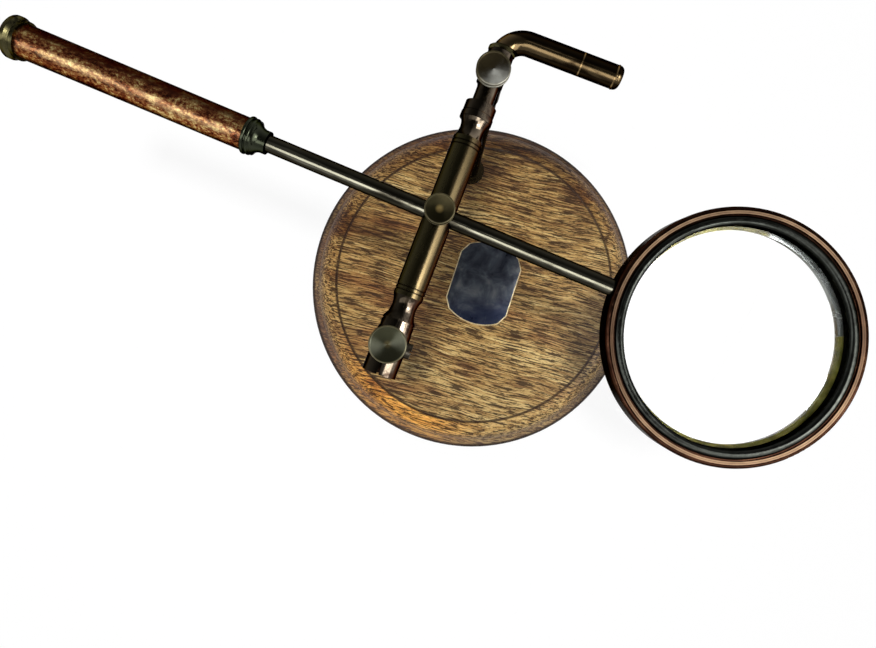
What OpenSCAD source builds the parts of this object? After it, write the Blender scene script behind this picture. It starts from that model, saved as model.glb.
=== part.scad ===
// Stand magnifier: a hand magnifier held in the cross bore of a turned brass boom,
// which swivels and rolls on a post over a round wooden base.
// Millimetres, +Z up. The origin is the middle of the underside.
// The boom's own frame: -Y along the boom from head to socket, +X towards the lens.

/* [Base] */
// Diameter of the wooden base
base_d = 200; // [196:1:230]
// Height of the wood
base_h = 24.5; // [22:0.5:30]
// Diameter of the flat top inside the moulding
flat_d = 165; // [158:1:168]
// Height of the half-round bead at the foot of the moulding
foot_bead_h = 9; // [7:0.5:11]
// Width of the flat step between the foot bead and the shoulder
foot_step_w = 1.5; // [1:0.1:2.5]
// Height of the flat step above the foot bead
foot_step_h = 1.4; // [0.8:0.1:2]
// Width of the fine groove round the flat top
rim_groove_w = 1.2; // [0.8:0.1:1.6]
// Thickness of the felt
felt_h = 1.5; // [1:0.1:3]
// How far the felt stays in from the edge of the wood
felt_margin = 6; // [3:0.5:12]

/* [Name plate] */
// Width of the plate
plate_w = 38; // [30:0.5:42]
// Length of the plate over its bowed ends
plate_l = 50; // [46:0.5:56]
// Thickness of the plate
plate_t = 1; // [0.6:0.1:1.6]
// Length of the straight sides
plate_side_l = 29; // [24:0.5:32]
// Width of each bowed end between the cut corners
plate_end_w = 31; // [26:0.5:33]
// How far the ends bow outwards
plate_bow = 4.5; // [3:0.1:6]
// Sideways place of the plate on the base
plate_x = 5.7; // [2:0.1:9]
// Turn of the plate's long side from the Y axis
plate_turn = 20; // [0:1:40]

/* [Post] */
// Distance of the post's axis from the base's edge
post_inset = 32; // [30:0.5:40]
// Diameter of the post
post_d = 9; // [8.6:0.1:9.8]
// Diameter of the spigot and of the threaded tail of the post
spigot_d = 6; // [5.4:0.1:6.2]
// Diameter of the foot flange
flange_d = 16.2; // [14:0.1:20]
// Height of the foot flange
flange_h = 3; // [2:0.1:5]
// Diameter of the raised step on the foot flange
flange_step_d = 12.4; // [11.6:0.1:13.4]
// Diameter of the counterbore under the wood
counterbore_d = 17; // [16:0.1:22]
// Depth of the counterbore under the wood
counterbore_h = 9; // [8:0.1:11]
// Diameter of the washer
washer_d = 14; // [13:0.1:15.6]
// Thickness of the washer
washer_t = 1.2; // [0.8:0.1:2]
// Size of the nut across its corners
nut_d = 11.5; // [11:0.1:12.6]
// Height of the nut
nut_h = 5; // [4:0.1:5.5]

/* [Head] */
// Height of the boom's axis above the table
boom_z = 161; // [150:0.5:180]
// Turn of the boom from the -Y axis, as photographed
boom_turn = 22.7; // [0:0.1:45]
// Turn of the cross bore and its rod from square to the boom
rod_skew = 1.9; // [0:0.1:3]
// Diameter of the cross boss
boss_d = 10.6; // [10.2:0.1:11.6]
// Reach of the cross boss from the post's axis towards the elbow
boss_back = 11.2; // [9.5:0.1:13]
// Reach of the cross boss from the post's axis towards the barrel
boss_front = 2; // [1.6:0.1:2.4]
// Diameter of the skirt that turns on the post
skirt_d = 10; // [9.6:0.1:11]
// Depth of the skirt below the boom's axis
skirt_depth = 16; // [14:0.5:20]
// Diameter of the journal that rolls in the cross boss
journal_d = 6; // [5.4:0.1:6.2]
// Height of the swivel screw above the skirt's lower edge
swivel_screw_up = 4; // [3.4:0.1:5]
// Diameter of the swivel screw
swivel_screw_d = 3; // [2.4:0.1:3.4]
// Depth of the groove in the spigot for the swivel screw
swivel_groove_depth = 0.7; // [0.5:0.05:0.9]

/* [Thumb screws] */
// Diameter of the threaded studs
stud_d = 4; // [3.6:0.1:4.2]
// Thickness of the knobs
knob_h = 4; // [3.4:0.1:5]
// Depth of the dished faces
knob_dish = 0.9; // [0.5:0.1:1.3]
// Width of the flat rim round the dished faces
knob_rim = 0.9; // [0.6:0.1:1.4]
// Diameter of the hub under each knob
hub_d = 7; // [6:0.1:8]
// Height of the hub under each knob
hub_h = 2.4; // [1.6:0.1:3.4]
// Diameter of the knob on the head
head_knob_d = 13.2; // [12:0.1:15]
// Diameter of the knob on the barrel
mid_knob_d = 11.8; // [11:0.1:14]
// Diameter of the knob on the socket
low_knob_d = 14.3; // [12:0.1:16]

/* [Boom] */
// Diameter of the bar
bar_d = 8.5; // [8:0.1:9]
// Place of the upper collar's outer face along the boom
collar_s = 10.8; // [10:0.1:12]
// Diameter of the upper collar
collar_d = 12.6; // [12:0.1:13]
// Length of the upper collar
collar_l = 6.6; // [6:0.1:8]
// Diameter of the lower collar
low_collar_d = 13.2; // [12.4:0.1:13.6]
// Length of the lower collar
low_collar_l = 5.3; // [4.5:0.1:6]
// Height of the raised lip on the upper collar
lip_h = 0.25; // [0.2:0.05:0.5]
// Width of the raised lip on the upper collar
lip_w = 2.2; // [1.6:0.1:2.4]
// Length of the upper concave neck
neck_l = 7.9; // [7:0.1:8.6]
// Length of the lower concave neck
low_neck_l = 8.6; // [6.5:0.1:9.5]
// Diameter of the necks at their waist
neck_d = 9.8; // [9.4:0.1:10.8]
// Diameter of the barrel
barrel_d = 12; // [11.6:0.1:12.3]
// Length of the barrel
barrel_l = 66; // [60:0.1:84]
// Distance of the cross bore from the post's axis
cross_s = 56.9; // [50:0.1:60]
// Width of the fine grooves on the barrel and the collars
groove_w = 0.5; // [0.3:0.05:0.8]
// Depth of the fine grooves on the barrel and the collars
groove_depth = 0.3; // [0.15:0.05:0.45]
// Distance of the first fine groove from the barrel's end
groove_in = 2; // [0.8:0.1:2.4]
// Distance between the two fine grooves
groove_step = 1.6; // [1.2:0.1:3.6]
// Diameter of the spigots that join the collars to barrel and socket
tenon_d = 7; // [6.4:0.1:7.4]
// Length of the spigots that join the collars to the barrel
tenon_l = 9; // [6:0.5:12]

/* [Socket] */
// Diameter of the socket at the collar
socket_d = 13.6; // [13:0.1:14]
// Diameter of the socket at its open end
socket_end_d = 13.6; // [13.2:0.1:15]
// Length of the socket
socket_l = 17.8; // [17:0.1:22]
// Diameter of the bore for a rod
socket_bore_d = 9.1; // [8.6:0.1:9.6]
// Depth of the bore for a rod
socket_bore_l = 15; // [13.5:0.5:15.5]
// Distance of the socket's screw from its open end
socket_screw_in = 12.1; // [9:0.1:12.4]
// Width of the saw cut
slot_w = 0.9; // [0.6:0.1:1.4]
// Length of the saw cut
slot_l = 7; // [5:0.5:8]
// Diameter of the side screw's head
side_head_d = 6.2; // [4.8:0.1:6.4]
// Height of the side screw's head
side_head_h = 2.2; // [1.2:0.1:2.6]
// Diameter of the side screw's shank
side_shank_d = 3; // [2.4:0.1:3.4]

/* [Elbow] */
// Diameter of the elbow tube
elbow_d = 9.4; // [9:0.1:9.8]
// Bore of the elbow tube
elbow_bore_d = 7; // [6.6:0.1:7.2]
// Radius of the elbow on its middle line
elbow_r = 9.5; // [9:0.1:10]
// Distance of the elbow's straight tube from the post's axis
elbow_reach = 19; // [18.4:0.1:20]
// Wall of the plain joints inside the tube
elbow_wall = 1.2; // [0.8:0.1:1.6]
// Length of the plain joints inside the tube
elbow_spigot_l = 5; // [3:0.5:7]
// Diameter of the ring between head and elbow
ring_stop_d = 11.2; // [11:0.1:12]
// Thickness of the ring between head and elbow
ring_stop_h = 1.8; // [1.4:0.1:2.6]
// Distance of the seam from the boom's axis
seam_x = 30.9; // [28:0.1:32]
// Distance of the end of the straight tube from the boom's axis
leg_x = 44.9; // [42:0.1:50]
// Diameter of the fine bead on the elbow's cap
bead_d = 9.8; // [9.6:0.1:10.4]
// Width of the fine bead on the elbow's cap
bead_w = 0.7; // [0.5:0.05:1]
// Radius of the rounded edge of the elbow's cap
cap_round = 2.2; // [1.6:0.1:2.6]

/* [Rod and grip] */
// Diameter of the rod
rod_d = 7; // [6.4:0.1:7.2]
// Wall of the clamp bush round the rod
bush_wall = 0.8; // [0.6:0.05:1]
// Length of the clamp bush
bush_l = 8; // [6:0.1:8.2]
// Distance of the ferrule's small end from the cross bore
ferrule_x = 72.5; // [70:0.5:80]
// Length of the ferrule
ferrule_l = 9; // [8.5:0.1:11]
// Diameter of the large beads on the ferrule
ferrule_bead_d = 15.2; // [14.6:0.1:16]
// Diameter of the ferrule's small end
ferrule_tip_d = 9.2; // [8.8:0.1:10]
// Length of the grip
grip_l = 94; // [85:0.5:110]
// Diameter of the grip at the end cap
grip_d = 13.6; // [13:0.1:14.2]
// Diameter of the grip at the ferrule
grip_tip_d = 13.2; // [12.6:0.1:13.8]
// Wall of the grip sleeve
grip_wall = 1.2; // [0.8:0.1:1.8]
// Diameter of the tang inside the grip
tang_d = 5; // [4:0.1:5.6]
// Diameter of the end cap
cap_d = 17; // [16:0.1:19]
// Thickness of the end cap's flange
cap_flange_h = 3; // [2:0.1:4]
// Diameter of the end cap's inner step
cap_step_d = 15.4; // [14.8:0.1:15.8]
// Thickness of the end cap's inner step
cap_step_h = 2.4; // [1.6:0.1:3.6]

/* [Lens] */
// Outer diameter of the lens ring
ring_d = 100.6; // [99.8:0.2:106]
// Distance of the lens ring's middle from the cross bore
ring_x = 123.6; // [121:0.1:132]
// Turn of the magnifier about its rod, as photographed
lens_lean = 2.5; // [0:0.1:10]
// Height of the lens ring
ring_h = 11.8; // [11:0.1:13]
// Width of the dark rounded edge round the ring
band_w = 1.2; // [0.7:0.05:1.4]
// Width of the bright band
bright_w = 1.4; // [1.2:0.1:2]
// Width of the groove on each side of the bright band
bright_gap_w = 0.35; // [0.2:0.05:0.4]
// Depth of the groove on each side of the bright band
bright_gap_h = 0.8; // [0.5:0.1:1.2]
// Width of the ring's wall outside the lens
ring_wall = 3.5; // [3.4:0.1:4.5]
// Width of the shoulder under the lens
shoulder_w = 5; // [4.4:0.1:6]
// Height of the shoulder under the lens
shoulder_h = 3.4; // [2.6:0.1:3.6]
// Thickness of the lens at its edge
lens_edge_h = 2.4; // [2:0.1:2.6]
// Rise of each lens face at its middle
lens_rise = 3.6; // [2.4:0.1:4]
// Width of the seat that the retaining ring fills
retainer_seat_w = 3.7; // [3:0.1:4.2]
// Diameter of the rod's tip in the lens ring
tip_d = 4; // [3.4:0.1:4.4]
// Length of the rod's tip in the lens ring
tip_l = 2.6; // [2:0.1:2.8]

/* [Fits] */
// Radial clearance of pieces that turn or slide
run = 0.05; // [0.03:0.01:0.08]
// Radial clearance of fixed joints
seat = 0.02; // [0.01:0.01:0.04]
// Gap between faces that move past each other
face_gap = 0.2; // [0.15:0.05:0.3]

/* [Hidden] */
$fn = 96;
fine = 180;
eps = 0.01;

base_r = base_d / 2;
post_y = base_r - post_inset;
base_top = felt_h + base_h;
nut_top = felt_h + counterbore_h;
tail_hole_r = spigot_d / 2 + 2 * run;

skirt_low = -skirt_depth;
skirt_top = -bar_d / 2 - 1.5 * face_gap;
spigot_top = -boss_d / 2 - face_gap;
post_top_z = boom_z + skirt_low - face_gap;

pad_d = hub_d + face_gap;
pad_rise = 0.6;
tap_d = stud_d + 2 * seat;
stud_hole_d = stud_d + 2 * run;
head_seat = boss_d / 2 + pad_rise;
mid_seat = barrel_d / 2 + pad_rise;
screw_s = cross_s;

bar_s = boss_front + face_gap;
stop_s = -(boss_back + face_gap);
elbow_s = stop_s - ring_stop_h;
leg_s = -elbow_reach;
bend_s = leg_s + elbow_r;
barrel_s = collar_s + collar_l + neck_l;
barrel_end_s = barrel_s + barrel_l;
low_collar_s = barrel_end_s + low_neck_l;
socket_s = low_collar_s + low_collar_l;
socket_end_s = socket_s + socket_l;
low_screw_s = socket_end_s - socket_screw_in;
low_seat = socket_d / 2 + pad_rise;

bush_d = rod_d + 2 * run + 2 * bush_wall;
tenon_hole_d = tenon_d + 2 * seat;
grip_x = ferrule_x + ferrule_l;
cap_x = grip_x + grip_l;
cap_bore_l = cap_step_h + cap_flange_h / 2;

seat_d = ring_d - 2 * ring_wall;
aperture_d = seat_d - 2 * shoulder_w;
retainer_in_d = seat_d - 2 * retainer_seat_w;
seat_low = -ring_h / 2 + shoulder_h;
lens_d = seat_d - 4 * run;
// A sphere's radius from half its chord and its rise
lens_ball_r = (pow(lens_d / 2, 2) + pow(lens_rise, 2)) / (2 * lens_rise);
// Rise of each lens face above its rim, where the shoulder's inner edge carries it
lens_swell = sqrt(pow(lens_ball_r, 2) - pow(aperture_d / 2, 2)) - (lens_ball_r - lens_rise);
lens_z = seat_low + seat + lens_swell + lens_edge_h / 2;
// The retaining ring is wider inside than the shoulder, so the lens's swell there is a little less
retainer_swell = sqrt(pow(lens_ball_r, 2) - pow(retainer_in_d / 2, 2)) - (lens_ball_r - lens_rise);
retainer_low = lens_z + lens_edge_h / 2 + retainer_swell + seat;
retainer_h = ring_h / 2 - retainer_low;
retainer_w = retainer_seat_w - seat;

// Frame of the boom: its origin is where the boom's axis crosses the post's axis
module on_boom() {
    translate([0, post_y, boom_z])
        rotate([0, 0, -boom_turn])
            children();
}

// Turns a shape on +Z so that it runs along the boom from distance s
module along_boom(s) {
    on_boom()
        translate([0, -s, 0])
            rotate([90, 0, 0])
                children();
}

// Turns a shape on +Z so that it runs towards the lens from the cross bore
module along_rod(x) {
    on_boom()
        translate([0, -cross_s, 0])
            rotate([0, 0, -rod_skew])
                translate([x, 0, 0])
                    rotate([0, 90, 0])
                        children();
}

// Stands a shape on the boom's axis at distance s
module above_boom(s) {
    on_boom()
        translate([0, -s, 0])
            children();
}

// Hole of diameter d that runs from just below z1 to just above z2
module hole(d, z1, z2) {
    translate([0, 0, z1 - eps])
        cylinder(d = d, h = z2 - z1 + 2 * eps);
}

// Fine turned groove round a bar of diameter d, centred at height z
module turned_groove(d, z) {
    translate([0, 0, z])
        rotate_extrude()
            translate([d / 2 - groove_depth, -groove_w / 2])
                square([2 * groove_depth, groove_w]);
}

// Base

module moulding_profile() {
    bead_r = foot_bead_h / 2;
    flat_r = flat_d / 2;
    shoulder_r = base_r - bead_r - foot_step_w;
    step_z = foot_bead_h + foot_step_h;
    round_w = shoulder_r - flat_r;
    round_h = base_h - step_z;
    arc_r = (pow(round_w, 2) + pow(round_h, 2)) / (2 * round_h);
    difference() {
        union() {
            square([base_r - bead_r, step_z]);
            translate([base_r - bead_r, bead_r])
                circle(r = bead_r, $fn = 64);
            square([flat_r, base_h]);
            // Rounded shoulder between the flat step and the flat top
            intersection() {
                translate([flat_r, base_h - arc_r])
                    circle(r = arc_r, $fn = 256);
                translate([flat_r - eps, step_z - eps])
                    square([round_w + eps, round_h + 2 * eps]);
            }
        }
        translate([flat_r, base_h])
            circle(d = rim_groove_w, $fn = 32);
    }
}

module wood_base() {
    color("peru")
        translate([0, 0, felt_h])
            difference() {
                rotate_extrude($fn = fine)
                    moulding_profile();
                translate([0, post_y, 0]) {
                    hole(2 * tail_hole_r, 0, base_h);
                    hole(counterbore_d, 0, counterbore_h);
                }
            }
}

module felt_pad() {
    color("darkgreen")
        cylinder(d = base_d - 2 * felt_margin, h = felt_h, $fn = fine);
}

module plate_outline() {
    half_l = plate_l / 2;
    end_y = half_l - plate_bow;
    half_end = plate_end_w / 2;
    bow_r = (pow(half_end, 2) + pow(plate_bow, 2)) / (2 * plate_bow);
    polygon([
        [-plate_w / 2, -plate_side_l / 2],
        [-half_end, -end_y],
        [half_end, -end_y],
        [plate_w / 2, -plate_side_l / 2],
        [plate_w / 2, plate_side_l / 2],
        [half_end, end_y],
        [-half_end, end_y],
        [-plate_w / 2, plate_side_l / 2]
    ]);
    for (way = [-1, 1])
        intersection() {
            translate([0, way * (half_l - bow_r)])
                circle(r = bow_r, $fn = 128);
            translate([-half_end, way > 0 ? end_y - eps : -half_l])
                square([plate_end_w, plate_bow + eps]);
        }
}

module name_plate() {
    color("darkslategray")
        translate([plate_x, 0, base_top])
            rotate([0, 0, -plate_turn])
                linear_extrude(plate_t)
                    plate_outline();
}

// Post

module post_flange() {
    step_h = flange_h * 0.4;
    color("darkolivegreen")
        translate([0, post_y, base_top])
            difference() {
                union() {
                    cylinder(d = flange_d, h = flange_h - step_h);
                    cylinder(d = flange_step_d, h = flange_h);
                }
                hole(post_d + 2 * seat, 0, flange_h);
            }
}

module post() {
    tail_low = nut_top - washer_t - nut_h - face_gap;
    groove_z = post_top_z + face_gap + swivel_screw_up;
    groove_h = swivel_screw_d + 2 * face_gap;
    color("darkgoldenrod")
        translate([0, post_y, 0])
            difference() {
                union() {
                    translate([0, 0, tail_low])
                        cylinder(d = spigot_d, h = base_top - tail_low + eps);
                    translate([0, 0, base_top])
                        cylinder(d = post_d, h = post_top_z - base_top);
                    translate([0, 0, post_top_z - eps])
                        cylinder(d = spigot_d, h = boom_z + spigot_top - face_gap - post_top_z + eps);
                }
                translate([0, 0, groove_z - groove_h / 2])
                    difference() {
                        cylinder(d = post_d, h = groove_h);
                        hole(spigot_d - 2 * swivel_groove_depth, 0, groove_h);
                    }
            }
}

module post_washer() {
    color("silver")
        translate([0, post_y, nut_top - washer_t])
            difference() {
                cylinder(d = washer_d, h = washer_t);
                hole(spigot_d + 2 * run, 0, washer_t);
            }
}

module post_nut() {
    color("silver")
        translate([0, post_y, nut_top - washer_t - nut_h])
            difference() {
                cylinder(d = nut_d, h = nut_h, $fn = 6);
                hole(spigot_d + 2 * seat, 0, nut_h);
            }
}

// Head

module head_block() {
    color("darkgoldenrod")
        difference() {
            union() {
                along_boom(-boss_back)
                    cylinder(d = boss_d, h = boss_back + boss_front);
                above_boom(0) {
                    translate([0, 0, skirt_low])
                        cylinder(d = skirt_d, h = skirt_top - skirt_low);
                    intersection() {
                        cylinder(d = pad_d, h = head_seat);
                        translate([-pad_d / 2, -boss_front, 0])
                            cube([pad_d, pad_d, head_seat]);
                    }
                }
            }
            along_boom(-boss_back)
                hole(journal_d + 2 * run, 0, boss_back + boss_front);
            above_boom(0) {
                hole(spigot_d + 2 * run, skirt_low, spigot_top);
                hole(stud_hole_d, 0, head_seat);
                translate([0, 0, skirt_low + swivel_screw_up])
                    rotate([-90, 0, 0])
                        cylinder(d = swivel_screw_d + 2 * seat, h = skirt_d);
            }
        }
}

module swivel_screw() {
    tip_r = spigot_d / 2 - swivel_groove_depth + face_gap;
    drive_w = swivel_screw_d * 0.2;
    color("dimgray")
        above_boom(0)
            translate([0, 0, skirt_low + swivel_screw_up])
                rotate([-90, 0, 0])
                    difference() {
                        translate([0, 0, tip_r])
                            cylinder(d = swivel_screw_d, h = skirt_d / 2 - tip_r);
                        translate([-swivel_screw_d, -drive_w / 2, skirt_d / 2 - drive_w])
                            cube([2 * swivel_screw_d, drive_w, 2 * drive_w]);
                    }
}

// Thumb screws

// Dished knob of diameter d whose hub stands on a seat at height seat_z over the axis
module knob(d, seat_z) {
    hub_z = seat_z + face_gap;
    edge_r = d / 2;
    face_z = hub_h + knob_h;
    color("tan")
        translate([0, 0, hub_z])
            difference() {
                rotate_extrude()
                    difference() {
                        polygon([
                            [0, 0],
                            [hub_d / 2, 0],
                            [hub_d / 2, hub_h - knob_rim],
                            [edge_r - knob_rim, hub_h],
                            [edge_r, hub_h + knob_rim],
                            [edge_r, face_z - knob_rim / 2],
                            [edge_r - knob_rim / 2, face_z],
                            [edge_r - knob_rim, face_z],
                            [0, face_z - knob_dish]
                        ]);
                        translate([edge_r, hub_h + knob_h / 2])
                            circle(d = knob_rim / 2, $fn = 24);
                    }
                hole(tap_d, 0, hub_h + knob_h / 2);
            }
}

// Threaded stud from height tip_z up into the knob over seat_z
module stud(tip_z, seat_z) {
    color("dimgray")
        translate([0, 0, tip_z])
            cylinder(d = stud_d, h = seat_z + face_gap + hub_h + knob_h / 2 - tip_z);
}

module head_knob() {
    above_boom(0)
        knob(head_knob_d, head_seat);
}

module head_stud() {
    above_boom(0)
        stud(journal_d / 2 + face_gap, head_seat);
}

module mid_knob() {
    above_boom(screw_s)
        knob(mid_knob_d, mid_seat);
}

module mid_stud() {
    above_boom(screw_s)
        stud(bush_d / 2 + face_gap, mid_seat);
}

module low_knob() {
    above_boom(low_screw_s)
        knob(low_knob_d, low_seat);
}

module low_stud() {
    above_boom(low_screw_s)
        stud(socket_bore_d / 2 + face_gap, low_seat);
}

// Boom

module boom_bar() {
    color("darkgoldenrod")
        union() {
            along_boom(bar_s)
                cylinder(d = bar_d, h = collar_s - bar_s);
            along_boom(elbow_s)
                cylinder(d = journal_d, h = bar_s - elbow_s + eps);
            along_boom(collar_s - eps)
                cylinder(d = journal_d, h = collar_l);
        }
}

module elbow_ferrule() {
    edge = ring_stop_h / 4;
    color("darkkhaki")
        along_boom(elbow_s)
            rotate_extrude()
                polygon([
                    [journal_d / 2 + seat, 0],
                    [ring_stop_d / 2 - edge, 0],
                    [ring_stop_d / 2, edge],
                    [ring_stop_d / 2, ring_stop_h - edge],
                    [ring_stop_d / 2 - edge, ring_stop_h],
                    [journal_d / 2 + seat, ring_stop_h]
                ]);
}

// Tube bent towards the lens's side, cut off square where it is brazed to the ring
module elbow_bend() {
    color("sienna")
        on_boom()
            difference() {
                union() {
                    translate([elbow_r, -bend_s, 0])
                        rotate([0, 0, 90])
                            rotate_extrude(angle = 90)
                                translate([elbow_r, 0])
                                    difference() {
                                        circle(d = elbow_d, $fn = 64);
                                        circle(d = elbow_bore_d, $fn = 64);
                                    }
                    translate([elbow_r, -leg_s, 0])
                        rotate([0, 90, 0])
                            difference() {
                                cylinder(d = elbow_d, h = seam_x - elbow_r, $fn = 64);
                                hole(elbow_bore_d, 0, seam_x - elbow_r);
                            }
                }
                translate([-elbow_d, -elbow_s - 2 * elbow_d, -elbow_d])
                    cube([elbow_r + elbow_d - eps, 2 * elbow_d, 2 * elbow_d]);
            }
}

module elbow_leg() {
    spigot_l = elbow_spigot_l;
    leg_l = spigot_l + leg_x - seam_x;
    color("sienna")
        on_boom()
            translate([seam_x, -leg_s, 0])
                rotate([0, 90, 0])
                    difference() {
                        union() {
                            cylinder(d = elbow_d, h = leg_x - seam_x);
                            translate([0, 0, -spigot_l])
                                cylinder(d = elbow_bore_d - 2 * seat, h = spigot_l + eps);
                        }
                        translate([0, 0, -spigot_l - eps])
                            cylinder(d = elbow_bore_d - 2 * elbow_wall, h = leg_l + 2 * eps);
                    }
}

module elbow_cap() {
    plug_l = elbow_spigot_l;
    color("sienna")
        on_boom()
            translate([leg_x, -leg_s, 0])
                rotate([0, 90, 0])
                    union() {
                        translate([0, 0, -plug_l])
                            cylinder(d = elbow_bore_d - 2 * elbow_wall - 2 * seat, h = plug_l + eps);
                        rotate_extrude()
                            union() {
                                square([elbow_d / 2, bead_w]);
                                translate([bead_d / 2 - bead_w / 2, bead_w / 2])
                                    circle(d = bead_w, $fn = 32);
                                square([elbow_d / 2 - cap_round, bead_w + cap_round]);
                                intersection() {
                                    translate([elbow_d / 2 - cap_round, bead_w])
                                        circle(r = cap_round, $fn = 64);
                                    square([elbow_d / 2, bead_w + cap_round]);
                                }
                            }
                    }
}

// Turned collar from z = 0 with its concave neck after it
module collar_profile(d, l, neck, groove_z) {
    waist = (barrel_d - neck_d) / 2;
    cove_r = (pow(neck / 2, 2) + pow(waist, 2)) / (2 * waist);
    difference() {
        union() {
            square([d / 2, l]);
            translate([0, l])
                square([barrel_d / 2, neck]);
        }
        translate([neck_d / 2 + cove_r, l + neck / 2])
            circle(r = cove_r, $fn = 128);
        translate([d / 2 - groove_depth, groove_z])
            square([2 * groove_depth, groove_w]);
    }
}

module upper_collar() {
    color("darkgoldenrod")
        along_boom(collar_s)
            difference() {
                union() {
                    rotate_extrude()
                        collar_profile(collar_d, collar_l, neck_l, collar_l - lip_w - groove_w);
                    translate([0, 0, collar_l - lip_w])
                        cylinder(d = collar_d + 2 * lip_h, h = lip_w);
                    translate([0, 0, collar_l + neck_l - eps])
                        cylinder(d = tenon_d, h = tenon_l + eps);
                }
                hole(journal_d + 2 * seat, 0, collar_l);
            }
}

module lower_collar() {
    tail_l = socket_l - socket_bore_l;
    color("darkgoldenrod")
        along_boom(low_collar_s + low_collar_l)
            rotate([180, 0, 0])
                union() {
                    rotate_extrude()
                        collar_profile(low_collar_d, low_collar_l, low_neck_l, low_collar_l / 2 + groove_w);
                    translate([0, 0, -tail_l])
                        cylinder(d = tenon_d, h = low_collar_l + low_neck_l + tail_l + tenon_l);
                }
}

module barrel() {
    cross_at = cross_s - barrel_s;
    color("goldenrod")
        difference() {
            union() {
                along_boom(barrel_s)
                    difference() {
                        cylinder(d = barrel_d, h = barrel_l);
                        for (at = [groove_in, groove_in + groove_step])
                            for (z = [at, barrel_l - at])
                                turned_groove(barrel_d, z);
                        hole(tenon_hole_d, 0, tenon_l + face_gap);
                        hole(tenon_hole_d, barrel_l - tenon_l - face_gap, barrel_l);
                    }
                above_boom(barrel_s + cross_at)
                    cylinder(d = pad_d, h = mid_seat);
            }
            along_rod(-barrel_d)
                cylinder(d = bush_d + 2 * run, h = 2 * barrel_d);
            above_boom(screw_s)
                hole(stud_hole_d, 0, mid_seat);
        }
}

module lower_socket() {
    tail_l = socket_l - socket_bore_l;
    color("goldenrod")
        difference() {
            union() {
                along_boom(socket_s)
                    cylinder(d1 = socket_d, d2 = socket_end_d, h = socket_l);
                above_boom(low_screw_s)
                    cylinder(d = pad_d, h = low_seat);
            }
            along_boom(socket_s) {
                hole(tenon_hole_d, 0, tail_l);
                hole(socket_bore_d, tail_l, socket_l);
                translate([-slot_w / 2, 0, socket_l - slot_l])
                    cube([slot_w, socket_end_d, slot_l + eps]);
            }
            above_boom(low_screw_s) {
                hole(stud_hole_d, 0, low_seat);
                rotate([0, 90, 0])
                    cylinder(d = side_shank_d + 2 * seat, h = socket_end_d);
                // Flat on the side that the screw head seats on
                translate([socket_d / 2 - face_gap, 0, 0])
                    rotate([0, 90, 0])
                        cylinder(d = side_head_d + 2 * face_gap, h = socket_end_d);
            }
        }
}

module side_screw() {
    head_x = socket_d / 2 - face_gap;
    drive_w = side_head_h * 0.35;
    color("dimgray")
        above_boom(low_screw_s)
            rotate([0, 90, 0])
                difference() {
                    union() {
                        translate([0, 0, socket_bore_d / 2 + face_gap])
                            cylinder(d = side_shank_d, h = head_x - socket_bore_d / 2);
                        translate([0, 0, head_x])
                            cylinder(d = side_head_d, h = side_head_h);
                    }
                    translate([-side_head_d, -drive_w / 2, head_x + side_head_h - drive_w])
                        cube([2 * side_head_d, drive_w, 2 * drive_w]);
                }
}

// Hand magnifier

module rod_bush() {
    color("khaki")
        along_rod(-bush_l / 2)
            difference() {
                cylinder(d = bush_d, h = bush_l);
                hole(rod_d + 2 * run, 0, bush_l);
            }
}

module rod() {
    rod_end_x = ring_x - ring_d / 2;
    tang_x = -(cap_x + cap_bore_l - face_gap);
    color("darkslategray")
        union() {
            along_rod(-grip_x)
                cylinder(d = rod_d, h = grip_x + rod_end_x);
            along_rod(tang_x)
                cylinder(d = tang_d, h = -grip_x - tang_x + eps);
            along_rod(rod_end_x - eps)
                cylinder(d = tip_d, h = tip_l);
        }
}

// Bell from the grip at z = 0 to its small end
module ferrule_profile() {
    bead = ferrule_l / 6;
    big_r = ferrule_bead_d / 2;
    tip_r = ferrule_tip_d / 2;
    cove_z = 2.4 * bead;
    cove_r = ferrule_l - bead - cove_z;
    flank_r = min(tip_r + cove_r, big_r - bead / 2);
    difference() {
        union() {
            square([big_r - bead / 2, cove_z]);
            translate([big_r - bead / 2, bead / 2])
                circle(d = bead, $fn = 32);
            translate([big_r - 0.7 * bead, 1.7 * bead])
                circle(d = bead, $fn = 32);
            difference() {
                square([flank_r, cove_z + cove_r]);
                translate([tip_r + cove_r, cove_z + cove_r])
                    circle(r = cove_r, $fn = 128);
            }
            square([tip_r, ferrule_l]);
        }
        square([rod_d / 2 + seat, ferrule_l]);
    }
}

module ferrule() {
    color("darkslategray")
        along_rod(-grip_x)
            rotate_extrude()
                ferrule_profile();
}

module grip_sleeve() {
    color("sienna")
        along_rod(-cap_x)
            difference() {
                cylinder(d1 = grip_d, d2 = grip_tip_d, h = grip_l);
                hole(grip_tip_d - 2 * grip_wall, 0, grip_l);
            }
}

module end_cap() {
    edge = cap_flange_h * 0.25;
    color("darkkhaki")
        along_rod(-cap_x)
            rotate([180, 0, 0])
                difference() {
                    rotate_extrude()
                        polygon([
                            [0, 0],
                            [cap_step_d / 2, 0],
                            [cap_step_d / 2, cap_step_h * 0.6],
                            [cap_step_d / 2 - edge / 2, cap_step_h * 0.8],
                            [cap_step_d / 2, cap_step_h],
                            [cap_d / 2 - edge, cap_step_h],
                            [cap_d / 2, cap_step_h + edge],
                            [cap_d / 2, cap_step_h + cap_flange_h - edge],
                            [cap_d / 2 - edge, cap_step_h + cap_flange_h],
                            [0, cap_step_h + cap_flange_h]
                        ]);
                    hole(tang_d + 2 * seat, 0, cap_bore_l);
                }
}

// Lens ring

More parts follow.
